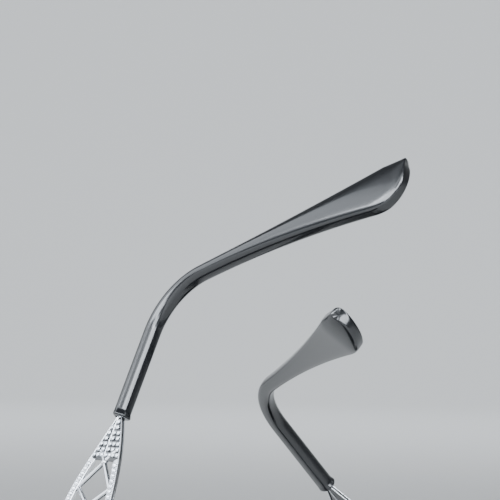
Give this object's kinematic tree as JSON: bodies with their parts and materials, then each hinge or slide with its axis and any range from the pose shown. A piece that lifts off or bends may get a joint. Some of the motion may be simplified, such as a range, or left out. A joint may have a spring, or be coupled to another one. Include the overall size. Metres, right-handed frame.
{
  "type": "sunglasses",
  "caption": "Sunglasses with a glossy black full-rim front, smoke lenses, openwork silver arms set with clear stones, bent black tips and rocking nose pads; both temples fold.",
  "frame": {"origin": "middle of the front face of the bridge, which lies on the table with the glasses face down", "axes": "+X to the wearer's right, +Y up towards the brow, +Z back along the temples"},
  "size_m": [0.1386, 0.0588, 0.1165],
  "materials": {
    "frame_black": "polished moulded cellulose acetate",
    "tip_black": "polished moulded tip",
    "silver_arm": "polished silver plate",
    "hinge_steel": "satin steel",
    "clear_stones": "cut clear stones in bright settings",
    "smoke_lens": "smoke grey lens, graded darker at the top",
    "silicone_pad": "clear soft silicone"
  },
  "bodies": {
    "front": {"front_frame": "frame_black", "left_lens": "smoke_lens", "left_front_hinge": "hinge_steel", "left_hinge_screw": "hinge_steel", "left_upper_leaf_screw": "hinge_steel", "left_lower_leaf_screw": "hinge_steel", "left_pad_arm": "hinge_steel", "left_pad_screw": "hinge_steel", "right_lens": "smoke_lens", "right_front_hinge": "hinge_steel", "right_hinge_screw": "hinge_steel", "right_upper_leaf_screw": "hinge_steel", "right_lower_leaf_screw": "hinge_steel", "right_pad_arm": "hinge_steel", "right_pad_screw": "hinge_steel"},
    "left_temple": {"left_temple_hinge": "hinge_steel", "left_arm": "silver_arm", "left_upper_stones": "clear_stones", "left_lower_stones": "clear_stones", "left_tip": "tip_black"},
    "right_temple": {"right_temple_hinge": "hinge_steel", "right_arm": "silver_arm", "right_upper_stones": "clear_stones", "right_lower_stones": "clear_stones", "right_tip": "tip_black"},
    "left_pad": {"left_nose_pad": "silicone_pad"},
    "right_pad": {"right_nose_pad": "silicone_pad"}
  },
  "joints": [
    {"name": "left_temple_fold", "type": "hinge", "parent": "front", "child": "left_temple", "pos_m": [-0.06215, 0.007, 0.00845], "axis": [0, 1, 0], "range_deg": [-25, 15]},
    {"name": "right_temple_fold", "type": "hinge", "parent": "front", "child": "right_temple", "pos_m": [0.06215, 0.007, 0.00845], "axis": [0, -1, 0], "range_deg": [-47, 43]},
    {"name": "left_pad_rock", "type": "hinge", "parent": "front", "child": "left_pad", "pos_m": [-0.0103, -0.016, 0.01], "axis": [-0.4226, 0, 0.9063], "range_deg": [-10, 10]},
    {"name": "right_pad_rock", "type": "hinge", "parent": "front", "child": "right_pad", "pos_m": [0.0103, -0.016, 0.01], "axis": [0.4226, 0, 0.9063], "range_deg": [-10, 10]}
  ]
}
